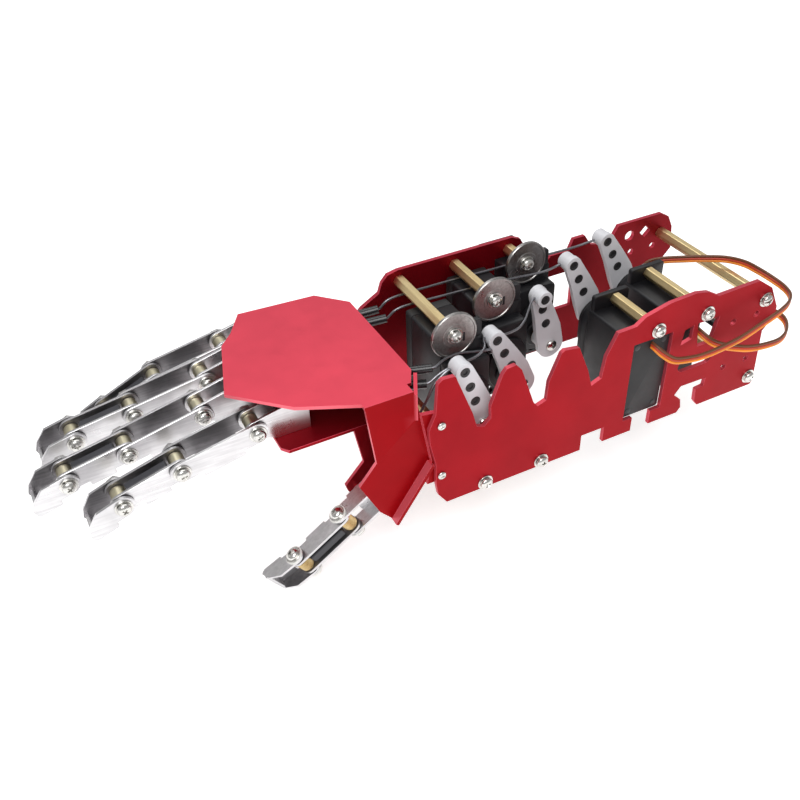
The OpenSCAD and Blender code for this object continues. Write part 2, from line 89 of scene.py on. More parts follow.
# ---------------------------------------------------------------- materials
class Nodes:
    """A material's node tree, with short names for the nodes used here."""

    def __init__(self, name):
        self.material = bpy.data.materials.new(name)
        self.material.use_nodes = True
        self.tree = self.material.node_tree
        self.shader = self.tree.nodes["Principled BSDF"]
        self.coord = self.tree.nodes.new("ShaderNodeTexCoord")

    def set(self, **sockets):
        for key, value in sockets.items():
            self.shader.inputs[key.replace("_", " ")].default_value = value

    def link(self, a, b):
        self.tree.links.new(a, b)

    def noise(self, scale, stretch=(1, 1, 1), detail=4, rough=0.55, distortion=0):
        mapping = self.tree.nodes.new("ShaderNodeMapping")
        mapping.inputs["Scale"].default_value = stretch
        self.link(self.coord.outputs["Object"], mapping.inputs["Vector"])
        n = self.tree.nodes.new("ShaderNodeTexNoise")
        n.inputs["Scale"].default_value = scale
        n.inputs["Detail"].default_value = detail
        n.inputs["Roughness"].default_value = rough
        n.inputs["Distortion"].default_value = distortion
        self.link(mapping.outputs["Vector"], n.inputs["Vector"])
        return n.outputs["Fac"]

    def range(self, value, a, b, c, d):
        n = self.tree.nodes.new("ShaderNodeMapRange")
        for i, v in enumerate((a, b, c, d)):
            n.inputs[i + 1].default_value = v
        self.link(value, n.inputs[0])
        return n.outputs[0]

    def math(self, kind, a, b=None):
        n = self.tree.nodes.new("ShaderNodeMath")
        n.operation = kind
        for i, v in enumerate((a, b)):
            if v is None:
                continue
            if isinstance(v, (int, float)):
                n.inputs[i].default_value = v
            else:
                self.link(v, n.inputs[i])
        return n.outputs[0]

    def mix(self, fac, a, b):
        n = self.tree.nodes.new("ShaderNodeMix")
        n.data_type = "RGBA"
        self.link(fac, n.inputs["Factor"])
        for socket, v in ((n.inputs[6], a), (n.inputs[7], b)):
            if isinstance(v, tuple):
                socket.default_value = (*v, 1)
            else:
                self.link(v, socket)
        return n.outputs[2]

    def normal(self):
        n = self.tree.nodes.new("ShaderNodeSeparateXYZ")
        self.link(self.coord.outputs["Normal"], n.inputs[0])
        return n.outputs

    def bump(self, height, strength, distance):
        n = self.tree.nodes.new("ShaderNodeBump")
        n.inputs["Strength"].default_value = strength
        n.inputs["Distance"].default_value = distance
        self.link(height, n.inputs["Height"])
        self.link(n.outputs["Normal"], self.shader.inputs["Normal"])

    def color(self, socket):
        self.link(socket, self.shader.inputs["Base Color"])

    def rough(self, socket):
        self.link(socket, self.shader.inputs["Roughness"])


def shade(c, k):
    return tuple(min(1, v * k) for v in c)


def red_sheet(name, face, edge, rough, top=None):
    """Anodised sheet: mottled satin faces, paler edges, fine grain. The paler edge colour is partly
    the bare cut edge and partly a painted highlight on the rims.

    top is a lighter colour painted on the faces that look up: painted light from above."""
    m = Nodes(name)
    m.set(Metallic=0.55, Specular_IOR_Level=0.08)
    _, ny, nz = m.normal()
    flat = m.math("MAXIMUM", m.math("ABSOLUTE", ny), m.math("ABSOLUTE", nz) if top else 0.0)
    is_face = m.range(flat, 0.86, 0.985, 0, 1)
    mottle = m.noise(38, detail=5)
    base = m.mix(m.range(mottle, 0.3, 0.7, 0, 1), shade(face, 0.88), shade(face, 1.08))
    # painted light: faces that look up blend to the lighter top colour, as if lit from above
    if top:
        painted_light_top = m.mix(m.range(mottle, 0.3, 0.7, 0, 1), shade(top, 0.95), shade(top, 1.04))
        base = m.mix(m.range(nz, 0.3, 0.8, 0, 1), base, painted_light_top)
    # faces that look sideways get the paler edge colour: partly the cut edge, partly a painted
    # highlight
    m.color(m.mix(is_face, edge, base))
    m.rough(m.range(m.noise(120, detail=2), 0.3, 0.7, rough - 0.03, rough + 0.05))
    m.bump(m.noise(300, detail=1), 0.03, 0.00002)
    return m.material


def brushed(name, light, dark, rough, stretch, metallic=1.0, strength=0.12):
    """Metal with fine lines along one direction, slight stains and smudges."""
    m = Nodes(name)
    m.set(Metallic=metallic, IOR=1.6)
    lines = m.noise(900, stretch, detail=3, rough=0.7)
    stain = m.noise(75, detail=4)
    c = m.mix(m.range(lines, 0.3, 0.7, 0, 1), dark, light)
    m.color(m.mix(m.range(stain, 0.42, 0.75, 0, 0.5), c, shade(dark, 0.8)))
    m.rough(m.range(stain, 0.3, 0.7, rough - 0.06, rough + 0.1))
    m.bump(lines, strength, 0.00003)
    return m.material


def plastic(name, base, rough, grain=1500, bump=0.12, coat=0.0, mottle=0.12):
    m = Nodes(name)
    m.set(Metallic=0.0, IOR=1.5, Coat_Weight=coat, Coat_Roughness=0.15)
    n = m.noise(120, detail=4)
    m.color(m.mix(m.range(n, 0.3, 0.7, 0, 1), shade(base, 1 - mottle), shade(base, 1 + mottle)))
    m.rough(m.range(n, 0.3, 0.7, rough - 0.05, rough + 0.08))
    m.bump(m.noise(grain, detail=2), bump, 0.00004)
    return m.material


MAT = {
    # edge colours below: partly the cut edge, partly a painted highlight on the rims
    "plate": red_sheet("red_plate", (0.34, 0.006, 0.012), (0.62, 0.08, 0.11), 0.40),
    # far plate: a darker copy of the plate red, painted shade on its shaded inner side
    "plate_far_painted_shade": red_sheet("red_plate_far", (0.21, 0.003, 0.008), (0.50, 0.05, 0.08), 0.38),
    # cover: top faces painted lighter (painted light from above), side faces a darker red (painted
    # shade)
    "cover": red_sheet("red_cover", (0.29, 0.002, 0.005), (0.80, 0.15, 0.19), 0.34,
                       top=(0.78, 0.075, 0.115)),
    # palm floor: top faces painted a little lighter, painted light from above
    "floor": red_sheet("red_floor", (0.27, 0.003, 0.008), (0.55, 0.06, 0.09), 0.36,
                       top=(0.32, 0.006, 0.014)),
    "channel": brushed("channel_sheet", (0.78, 0.77, 0.78), (0.60, 0.59, 0.60), 0.30, (0.05, 1, 1)),
    # inside faces of the finger channels: a darker copy of the channel metal, painted shade
    "channel_in": brushed("channel_inside_painted_shade", (0.34, 0.33, 0.34), (0.22, 0.21, 0.22),
                          0.42, (0.05, 1, 1)),
    "steel": brushed("screw_steel", (0.80, 0.79, 0.76), (0.62, 0.61, 0.58),
                     0.22, (1, 1, 1), strength=0.05),
    "disc": brushed("turned_disc", (0.50, 0.49, 0.48), (0.30, 0.29, 0.28),
                    0.30, (1, 0.1, 1), strength=0.2),
    "brass": brushed("standoff_brass", (0.90, 0.74, 0.42), (0.74, 0.57, 0.29),
                     0.38, (1, 0.04, 1), strength=0.25),
    "spacer": brushed("spacer_nickel_brass", (0.86, 0.80, 0.60), (0.72, 0.66, 0.46),
                      0.34, (1, 0.06, 1)),
    "knurl": brushed("knurled_brass", (0.72, 0.56, 0.30), (0.52, 0.38, 0.18), 0.36, (1, 1, 1)),
    "nylon": plastic("white_nylon", (0.80, 0.79, 0.76), 0.40, mottle=0.03),
    "servo": plastic("servo_case", (0.008, 0.008, 0.010), 0.45),
    "servo_base": plastic("servo_base", (0.012, 0.011, 0.012), 0.55, grain=900, bump=0.1),
    "arm": plastic("arm_enamel", (0.66, 0.66, 0.69), 0.40,
                   grain=900, bump=0.2, coat=0.15, mottle=0.05),
    # dark ring and plug in the arm holes (painted shade), also the black servo case screws
    "hole_shade_and_screw_black": plastic("arm_hole_shade_and_screw_black", (0.022, 0.022, 0.024), 0.45),
    "bar": plastic("coupling_bar", (0.035, 0.035, 0.042), 0.38),
    "sleeve": plastic("wire_sleeve", (0.012, 0.012, 0.014), 0.26, coat=0.2),
    "wire": brushed("spring_wire", (0.30, 0.30, 0.32), (0.20, 0.20, 0.22),
                    0.32, (1, 1, 1), strength=0.05),
    "plug": plastic("plug_black", (0.016, 0.016, 0.018), 0.5),
    "core_brown": plastic("core_brown", (0.14, 0.045, 0.014), 0.38, grain=3000, bump=0.08),
    "core_red": plastic("core_red", (0.50, 0.045, 0.015), 0.38, grain=3000, bump=0.08),
    "core_orange": plastic("core_orange", (0.85, 0.27, 0.02), 0.38, grain=3000, bump=0.08),
}


# ---------------------------------------------------------------- mesh tools
def mesh_of(bm, name="tmp"):
    me = bpy.data.meshes.new(name)
    bm.to_mesh(me)
    bm.free()
    return me


def lathe(profile, segments=32):
    """Closed solid turned round +Z from (radius, height) pairs in mm, bottom to top."""
    bm = bmesh.new()
    rings = []
    for r, z in profile:
        if r < 1e-6:
            rings.append([bm.verts.new((0, 0, z * MM))])
        else:
            rings.append([bm.verts.new((r * MM * math.cos(a), r * MM * math.sin(a), z * MM))
                          for a in (2 * math.pi * k / segments for k in range(segments))])
    for a, b in zip(rings, rings[1:]):
        for k in range(segments):
            k2 = (k + 1) % segments
            if len(a) == 1:
                bm.faces.new((a[0], b[k2], b[k]))
            elif len(b) == 1:
                bm.faces.new((a[k], a[k2], b[0]))
            else:
                bm.faces.new((a[k], a[k2], b[k2], b[k]))
    bmesh.ops.recalc_face_normals(bm, faces=bm.faces)
    return mesh_of(bm)


def block(lo, hi, bevel=0.0, segments=3):
    """Box between two corners in mm, with rounded edges."""
    bm = bmesh.new()
    bmesh.ops.create_cube(bm, size=1)
    size = [h - l for l, h in zip(lo, hi)]
    mid = [(h + l) / 2 for l, h in zip(lo, hi)]
    for v in bm.verts:
        v.co = Vector([(v.co[i] * size[i] + mid[i]) * MM for i in range(3)])
    if bevel:
        bmesh.ops.bevel(bm, geom=list(bm.edges), offset=bevel * MM, segments=segments, profile=0.5,
                        affect="EDGES", clamp_overlap=True)
    return mesh_of(bm)


def prism(outline, z0, z1, bevel=0.0):
    """Upright prism over an outline of (x, y) in mm."""
    bm = bmesh.new()
    low = [bm.verts.new((x * MM, y * MM, z0 * MM)) for x, y in outline]
    high = [bm.verts.new((x * MM, y * MM, z1 * MM)) for x, y in outline]
    n = len(outline)
    for k in range(n):
        bm.faces.new((low[k], low[(k + 1) % n], high[(k + 1) % n], high[k]))
    bm.faces.new(high)
    bm.faces.new(low[::-1])
    bmesh.ops.recalc_face_normals(bm, faces=bm.faces)
    if bevel:
        rim = [e for e in bm.edges if e.calc_face_angle(0) > math.radians(50)
               and abs((e.verts[0].co - e.verts[1].co).normalized().z) < 0.5]
        bmesh.ops.bevel(bm, geom=rim, offset=bevel * MM, segments=2, profile=0.5,
                        affect="EDGES", clamp_overlap=True)
    return mesh_of(bm)


def catmull(points, step=0.0015):
    """Smooth line through points, resampled about every step metres."""
    pts = [Vector(p) for p in points]
    pts = [2 * pts[0] - pts[1]] + pts + [2 * pts[-1] - pts[-2]]
    out = []
    for i in range(1, len(pts) - 2):
        a, b, c, d = pts[i - 1:i + 3]
        n = max(2, int((c - b).length / step))
        for k in range(n):
            t = k / n
            out.append(0.5 * (2 * b + (c - a) * t + (2 * a - 5 * b + 4 * c - d) * t * t
                              + (3 * b - a - 3 * c + d) * t ** 3))
    out.append(pts[-2])
    return out


def tube(path, radius, sides=12, offset=None, up=Vector((0.05, 0.02, 1))):
    """Round tube with flat ends along a path.

    offset(i) moves ring i's centre sideways as (side, up) in metres."""
    bm = bmesh.new()
    rings = []
    for i, p in enumerate(path):
        d = (path[min(i + 1, len(path) - 1)] - path[max(i - 1, 0)]).normalized()
        side = d.cross(up).normalized()
        over = side.cross(d)
        c = Vector(p)
        if offset:
            a, b = offset(i)
            c = c + side * a + over * b
        r = radius(i) if callable(radius) else radius
        rings.append([bm.verts.new(c + (side * math.cos(t) + over * math.sin(t)) * r)
                      for t in (2 * math.pi * k / sides for k in range(sides))])
    for a, b in zip(rings, rings[1:]):
        for k in range(sides):
            bm.faces.new((a[k], a[(k + 1) % sides], b[(k + 1) % sides], b[k]))
    bm.faces.new(rings[0][::-1])
    bm.faces.new(rings[-1])
    bmesh.ops.recalc_face_normals(bm, faces=bm.faces)
    return mesh_of(bm)


def minus(me, *cutters):
    """me with the cutter meshes taken out."""
    obj = bpy.data.objects.new("cut", me)
    bpy.context.scene.collection.objects.link(obj)
    helpers = []
    for c in cutters:
        h = bpy.data.objects.new("cutter", c)
        bpy.context.scene.collection.objects.link(h)
        helpers.append(h)
        mod = obj.modifiers.new("cut", "BOOLEAN")
        mod.operation = "DIFFERENCE"
        mod.solver = "EXACT"
        mod.object = h
    bpy.context.view_layer.update()
    deps = bpy.context.evaluated_depsgraph_get()
    out = bpy.data.meshes.new_from_object(obj.evaluated_get(deps))
    for o in helpers + [obj]:
        bpy.data.objects.remove(o)
    return out


class Piece:
    """Collects meshes, each with one material, into one object."""

    def __init__(self, name):
        self.name = name
        self.bm = bmesh.new()
        self.mats = []

    def put(self, me, mat, at=Matrix.Identity(4)):
        if mat not in self.mats:
            self.mats.append(mat)
        first = len(self.bm.faces)
        copy = me.copy()
        copy.transform(at)
        self.bm.from_mesh(copy)
        bpy.data.meshes.remove(copy)
        self.bm.faces.ensure_lookup_table()
        for f in self.bm.faces[first:]:
            f.material_index = self.mats.index(mat)
        return self

    def done(self, body, slot, *replaced, sharp=34):
        for f in self.bm.faces:
            f.smooth = True
        for e in self.bm.edges:
            if len(e.link_faces) != 2 or e.calc_face_angle(0) > math.radians(sharp):
                e.smooth = False
        me = bpy.data.meshes.new(self.name)
        self.bm.to_mesh(me)
        self.bm.free()
        for m in self.mats:
            me.materials.append(MAT[m])
        obj = bpy.data.objects.new(self.name, me)
        bpy.context.scene.collection.objects.link(obj)
        if replaced:
            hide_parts(*replaced)
        if body:
            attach(obj, body)
        return obj


def frame_at(origin, z_axis, x_axis=None):
    """Matrix with its origin and local Z (and X, if given) as stated."""
    z = Vector(z_axis).normalized()
    x = Vector(x_axis) if x_axis else Vector((0, 0, 1)) if abs(z.z) < 0.9 else Vector((1, 0, 0))
    x = (x - z * x.dot(z)).normalized()
    y = z.cross(x)
    o = Vector(origin)
    return Matrix(((x.x, y.x, z.x, o.x), (x.y, y.y, z.y, o.y), (x.z, y.z, z.z, o.z), (0, 0, 0, 1)))


def refined(node, mat, width=0.28, angle=32, extra=None, across=None):
    """A CAD node's own shape with its facets merged and its edges broken, in place of the node.

    across is a channel's (centre, width axis): the faces that look inward get a darker copy of the
    metal, painted shade inside the channel."""
    src = nodes[node].data
    bm = bmesh.new()
    verts = [bm.verts.new(v.co) for v in src.vertices]
    for p in src.polygons:
        try:
            bm.faces.new([verts[i] for i in p.vertices])
        except ValueError:
            pass
    bmesh.ops.remove_doubles(bm, verts=bm.verts, dist=2e-6)
    bmesh.ops.dissolve_limit(bm, angle_limit=math.radians(0.6), verts=bm.verts, edges=bm.edges)
    sharp = [e for e in bm.edges if len(e.link_faces) == 2
             and e.calc_face_angle(0) > math.radians(angle)]
    bmesh.ops.bevel(bm, geom=sharp, offset=width * MM, segments=1, profile=0.5,
                    affect="EDGES", clamp_overlap=True)
    bmesh.ops.recalc_face_normals(bm, faces=bm.faces)
    piece = Piece(node + "_skin")
    piece.put(mesh_of(bm), mat)
    if across:
        centre, axis = across
        # faces that look inward into the channel take the darker copy: painted shade
        piece.mats.append(mat + "_in")
        for face in piece.bm.faces:
            away = (face.calc_center_median() - centre).dot(axis)
            lean = face.normal.dot(axis)
            if abs(lean) > 0.7 and away * lean < 0:
                face.material_index = 1
    if extra:
        extra(piece)
    return piece.done(node_body[node], node_slot[node], node, sharp=27)


# ---------------------------------------------------------------- screws
def recess_bar(top, size, depth, wide, turn):
    """One bar of a cross recess, narrowing downward."""
    bm = bmesh.new()
    low, high = [], []
    for x, y in ((-1, -1), (1, -1), (1, 1), (-1, 1)):
        for ring, s, z in ((low, 0.45, top - depth), (high, 1.0, top + 0.6)):
            ring.append(bm.verts.new((x * size * s * MM, y * wide / 2 * MM, z * MM)))
    for k in range(4):
        bm.faces.new((low[k], low[(k + 1) % 4], high[(k + 1) % 4], high[k]))
    bm.faces.new(low[::-1])
    bm.faces.new(high)
    bmesh.ops.recalc_face_normals(bm, faces=bm.faces)
    me = mesh_of(bm)
    me.transform(Matrix.Rotation(turn, 4, "Z"))
    return me


def pan_head(r, h):
    """Domed head standing on z = 0 with a cross recess."""
    dome = [(0, 0), (r * 0.96, 0), (r, 0.1 * h), (r, 0.30 * h)]
    dome += [(r * math.cos(a), h * (0.30 + 0.70 * math.sin(a)))
             for a in (math.radians(d) for d in (15, 30, 45, 60, 72, 82))]
    head = lathe(dome + [(0, h)], 28)
    return minus(head, *(recess_bar(h, 0.58 * r, 0.55 * h, 0.24 * r, t) for t in (0, math.pi / 2)))


def washer(r, bore, t):
    return lathe([(bore, 0), (r - 0.12, 0), (r, 0.12), (r, t - 0.12), (r - 0.12, t), (bore, t),
                  (bore, 0)], 32)


def spring_washer(r, bore, t):
    """Split ring, one end risen a little above the other."""
    bm = bmesh.new()
    n = 30
    rings = []
    for k in range(n + 1):
        a = math.radians(12 + 336 * k / n)
        lift = 0.3 * k / n
        rings.append([bm.verts.new((rr * MM * math.cos(a), rr * MM * math.sin(a), (z + lift) * MM))
                      for rr, z in ((bore, 0), (r, 0), (r, t), (bore, t))])
    for a, b in zip(rings, rings[1:]):
        for k in range(4):
            bm.faces.new((a[k], a[(k + 1) % 4], b[(k + 1) % 4], b[k]))
    bm.faces.new(rings[0][::-1])
    bm.faces.new(rings[-1])
    bmesh.ops.recalc_face_normals(bm, faces=bm.faces)
    return mesh_of(bm)


def hex_nut(af, h):
    r = af / math.sqrt(3)
    outline = [(r * math.cos(a), r * math.sin(a)) for a in (math.radians(60 * k) for k in range(6))]
    return prism(outline, 0, h, 0.3)


HEAD = pan_head(2.75, 2.0)
SMALL_HEAD = pan_head(1.85, 1.25)
FLAT_WASHER = washer(3.55, 1.55, 0.5)
WIDE_WASHER = washer(3.9, 1.55, 0.8)
SPRING = spring_washer(2.6, 1.6, 0.45)
NUT = hex_nut(5.5, 2.3)
THREAD_END = lathe([(0, 0), (1.45, 0), (1.45, 0.5), (1.2, 0.8), (0, 0.8)], 20)


def shift(z):
    return Matrix.Translation((0, 0, z * MM))


FLIP = Matrix.Rotation(math.pi, 4, "X")


def joint_set(piece, at, width=13.0, inner=7.0, spacer="spacer", nylon=False, turn=0.0):
    """Screw, washers, nut and spacer on a joint; local Z runs from the nut to the head."""
    at = at @ Matrix.Rotation(turn, 4, "Z")
    half = width / 2
    if nylon:
        piece.put(WIDE_WASHER, "nylon", at @ shift(half))
        piece.put(FLAT_WASHER, "steel", at @ shift(half + 0.75))
        piece.put(HEAD, "steel", at @ shift(half + 1.1))
        piece.put(WIDE_WASHER, "nylon", at @ FLIP @ shift(half))
    else:
        piece.put(FLAT_WASHER, "steel", at @ shift(half))
        piece.put(SPRING, "steel", at @ shift(half + 0.4))
        piece.put(HEAD, "steel", at @ shift(half + 0.95))
        piece.put(FLAT_WASHER, "steel", at @ FLIP @ shift(half))
    piece.put(NUT, "steel", at @ FLIP @ shift(half + 0.6))
    piece.put(THREAD_END, "steel", at @ FLIP @ shift(half + 2.3))
    shank = lathe([(0, -half - 2), (1.47, -half - 2), (1.47, half + 1), (0, half + 1)], 20)
    piece.put(shank, "steel", at)
    s = inner / 2 - 0.3
    if spacer == "knurl":
        # straight knurl: a ribbed outline
        ribs = []
        for k in range(64):
            rr = 3.1 if k % 2 == 0 else 2.86
            a = 2 * math.pi * k / 64
            ribs.append((rr * math.cos(a), rr * math.sin(a)))
        piece.put(prism(ribs, -s + 0.5, s - 0.5), spacer, at)
        piece.put(lathe([(0, -s), (2.7, -s), (2.7, s), (0, s)], 28), spacer, at)
    else:
        profile = [(0, -s), (2.85, -s), (3.1, -s + 0.25), (3.1, s - 0.25), (2.85, s), (0, s)]
        piece.put(lathe(profile, 32), spacer, at)


# ---------------------------------------------------------------- palm and plates
refined("near_plate", "plate", 0.22)
# the far plate takes the darker copy of the plate red: painted shade
refined("far_plate", "plate_far_painted_shade", 0.22)
refined("palm_cover", "cover", 0.30)
refined("palm_floor", "floor", 0.25)
for n in ("palm_posts", "cross_standoffs", "servo_standoffs"):
    refined(n, "brass", 0.22)
refined("knuckle_brackets", "channel", 0.2)
refined("thumb_base", "channel", 0.2)

# ---------------------------------------------------------------- fingers and thumb
FINGERS = ("index", "middle", "ring", "pinky")
for f in FINGERS:
    for part in ("proximal", "middle", "distal"):
        refined(f"{f}_{part}", "channel", 0.2,
                across=(Vector(joints[f + "_knuckle"]["pos_m"]), Vector((0, 1, 0))))
    refined(f"{f}_link", "bar", 0.35)
    k, m, e = (Vector(joints[f + s]["pos_m"]) for s in ("_knuckle", "_middle_joint", "_end_joint"))
    head_to = Vector((0, -1, 0))
    piece = Piece(f + "_joint_screws")
    joint_set(piece, frame_at(k, head_to), turn=rng.uniform(0, 1.5))
    joint_set(piece, frame_at(m, head_to), turn=rng.uniform(0, 1.5))
    piece.done(node_body[f + "_screws"], "screw_steel", f + "_screws")
    piece = Piece(f + "_end_screw")
    joint_set(piece, frame_at(e, head_to), turn=rng.uniform(0, 1.5))
    piece.done(node_body[f + "_tip_screw"], "screw_steel", f + "_tip_screw")

for part in ("thumb_middle", "thumb_distal"):
    refined(part, "channel", 0.2,
            across=(Vector(joints["thumb_knuckle"]["pos_m"]),
                    Vector(joints["thumb_knuckle"]["axis"])))
refined("thumb_link", "bar", 0.35)
for j, n in (("thumb_knuckle", "thumb_screw"), ("thumb_end_joint", "thumb_tip_screw")):
    piece = Piece(n + "_set")
    axis = -Vector(joints[j]["axis"])
    joint_set(piece, frame_at(joints[j]["pos_m"], axis, (0, 1, 0)), spacer="knurl", nylon=True,
              turn=rng.uniform(0, 1.5))
    piece.done(node_body[n], "screw_steel", n)

# ---------------------------------------------------------------- servos
SHAFTS = {"thumb": (20.5, 30, 24.6, -1, -4.2), "index": (48.4, 30, 39.3, -1, -4.5),
          "middle": (75.5, 30, 58.1, -1, -3.6), "ring": (99.6, 38, 32.1, 1, 1.7),
          "pinky": (127.5, 38, 42.3, 1, 0.2)}
NEAR, FAR, COVER = -10.2, 30.2, 23.3
MID = (NEAR + FAR) / 2
PITCH = 48.4
# mounting tab: length, offset above which it has two holes side by side, rib length
TAB_L, ONE_HOLE_DX, RIB_L = 7.2, 2.5, 4.4


def rounded(x0, x1, hw, r0, r1, n=10):
    """Outline from x0 to x1, half width hw, with corner radii r0 at x0 and r1 at x1."""
    pts = []
    for cx, cy, r, a0 in ((x1 - r1, hw - r1, r1, 0), (x0 + r0, hw - r0, r0, 90),
                          (x0 + r0, -hw + r0, r0, 180), (x1 - r1, -hw + r1, r1, 270)):
        for k in range(n + 1):
            a = math.radians(a0 + 90 * k / n)
            pts.append((cx + r * math.cos(a), cy + r * math.sin(a)))
    return pts


def servo_mesh(piece, at, slot_y):
    put = lambda me, mat: piece.put(me, mat, at)
    # bottom cover, seam, gearbox case, then the rounded gear cover round the shaft
    put(prism(rounded(NEAR, FAR, 10, 1.3, 1.3, 4), -30.5, -25.2, 0.5), "servo_base")
    put(prism(rounded(NEAR + 0.35, FAR - 0.35, 9.65, 1.1, 1.1, 3), -25.4, -24.6), "servo")
    put(prism(rounded(NEAR, FAR, 10, 1.3, 1.3, 4), -24.8, 0, 0.35), "servo")
    put(prism(rounded(NEAR + 0.35, COVER - 0.35, 9.65, 9.5, 1.1, 10), -0.2, 1.0), "servo")
    put(prism(rounded(NEAR, COVER, 10, 9.9, 2.5, 12), 0.8, 6.0, 0.9), "servo")
    put(prism(rounded(NEAR + 0.6, 16, 9.4, 9.3, 9.3, 12), 5.8, 7.5, 0.8), "servo")
    put(lathe([(0, 7.3), (6.5, 7.3), (6.5, 8.3), (6.1, 8.7), (0, 8.7)], 32), "servo")
    put(lathe([(0, 8.6), (2.95, 8.6), (2.95, 9.5), (2.6, 9.7), (0, 9.7)], 24), "brass")
    # mounting tabs with slotted holes and ribs
    for x0, x1, hole in ((NEAR - TAB_L, NEAR + 1, MID - PITCH / 2),
                         (FAR - 1, FAR + TAB_L, MID + PITCH / 2)):
        tab = prism(rounded(x0, x1, 9.2, 1.2, 1.2, 4), -2.5, 0, 0.25)
        cutters = []
        for y in (slot_y, -slot_y) if abs(slot_y) > ONE_HOLE_DX else (slot_y,):
            cutters.append(lathe([(0, -4), (2.1, -4), (2.1, 2), (0, 2)], 24))
            cutters[-1].transform(Matrix.Translation((hole * MM, y * MM, 0)))
        put(minus(tab, *cutters), "servo")
        rx = NEAR - 0.2 if x0 < 0 else FAR + 0.2
        sx = -1 if x0 < 0 else 1
        put(block((min(rx, rx + sx * RIB_L), -0.6, 0), (max(rx, rx + sx * RIB_L), 0.6, 1.6), 0.3),
            "servo")
    # case screws in the bottom cover's corners
    for x in (NEAR + 3, FAR - 3):
        for y in (-7, 7):
            ring = at @ Matrix.Translation((x * MM, y * MM, -30.5 * MM)) @ FLIP
            piece.put(lathe([(0, -0.4), (1.5, -0.4), (1.5, 0.12), (1.2, 0.3), (0, 0.3)], 20),
                      "hole_shade_and_screw_black", ring)


for f, (sx, sz, sy, side, dx) in SHAFTS.items():
    lx = Vector((0, 0, -side))
    lz = Vector((0, side, 0))
    at = frame_at(P(sx, sy, sz), lz, lx)
    piece = Piece(f + "_servo_body")
    servo_mesh(piece, at, -dx)
    piece.done(ROOT, "servo_case", "servo_" + f)

# ---------------------------------------------------------------- servo arms
ARM_Y = {"thumb": 7.7, "index": 22, "middle": 40, "ring": 44, "pinky": 55}
BOSS_SIDE = {"thumb": 1, "index": 1, "middle": -1, "ring": 1, "pinky": 1}
LEAN = {"thumb": 17.5, "index": 26.5, "middle": 16, "ring": 24, "pinky": 27}
# distances from the shaft to the arm's holes, half its thickness, length of its wire boss
ARM_HOLES = (13.4, 21.7, 30)
ARM_HALF, BOSS_L = 1.3, 4.6
# a dark ring and a dark plug fill each arm hole: painted shade standing in for the empty holes
HOLE_SHADE_RING = lathe([(1.2, -1.15), (1.95, -1.3), (2.1, -1.42), (2.1, 1.42), (1.95, 1.55), (1.2, 1.35),
                 (1.2, -1.15)], 28)
HOLE_SHADE_PLUG = lathe([(0, -0.7), (1.6, -0.7), (1.6, 0.7), (0, 0.7)], 24)
BOSS_SCREW = pan_head(1.7, 0.9)


def arm_extras(f):
    sx, sz = SHAFTS[f][:2]
    lean = math.radians(LEAN[f])
    along = Vector((-math.sin(lean), 0, math.cos(lean)))

    def add(piece):
        side = BOSS_SIDE[f]
        for r in ARM_HOLES:
            y = -BOSS_L if side < 0 and r == ARM_HOLES[-1] else 0
            at = frame_at(P(sx, ARM_Y[f] + y, sz) + along * (r * MM), (0, 1, 0))
            # each arm hole is filled with the dark ring and plug: painted shade
            piece.put(HOLE_SHADE_RING, "hole_shade_and_screw_black", at)
            piece.put(HOLE_SHADE_PLUG, "hole_shade_and_screw_black", at)
        tip = P(sx, ARM_Y[f], sz) + along * (ARM_HOLES[-1] * MM)
        back = ARM_HALF + BOSS_L if side > 0 else ARM_HALF
        piece.put(BOSS_SCREW, "steel", frame_at(tip + Vector((0, back * MM, 0)), (0, 1, 0)))
        hub = frame_at(P(sx, ARM_Y[f] - ARM_HALF, sz), (0, -1, 0))
        piece.put(HEAD, "steel", hub)
    return add


for f in SHAFTS:
    refined("arm_" + f, "arm", 0.45, extra=arm_extras(f))

# ---------------------------------------------------------------- clamp discs and frame screws
def clamp_z(f):
    sx, sz, sy, side, dx = SHAFTS[f]
    return sz - side * MID + PITCH / 2


piece = Piece("clamp_disc_set")
DISC = lathe([(0, 0), (10.0, 0), (10.25, 0.25), (10.25, 1.25), (9.95, 1.6), (9.3, 1.6), (9.1, 1.35),
              (5.2, 1.35), (5.0, 1.5), (0, 1.5)], 64)
for f in ("thumb", "index", "middle"):
    sx, sz, sy, side, dx = SHAFTS[f]
    at = frame_at(P(sx + dx, sy, clamp_z(f)), (0, -1, 0))
    at = at @ Matrix.Rotation(rng.uniform(0, 1.5), 4, "Z")
    piece.put(DISC, "disc", at)
    piece.put(FLAT_WASHER, "steel", at @ shift(1.5))
    piece.put(SPRING, "steel", at @ shift(1.95))
    piece.put(HEAD, "steel", at @ shift(2.35))
piece.done(ROOT, "clamp_disc", "clamp_discs")

piece = Piece("plate_screws")
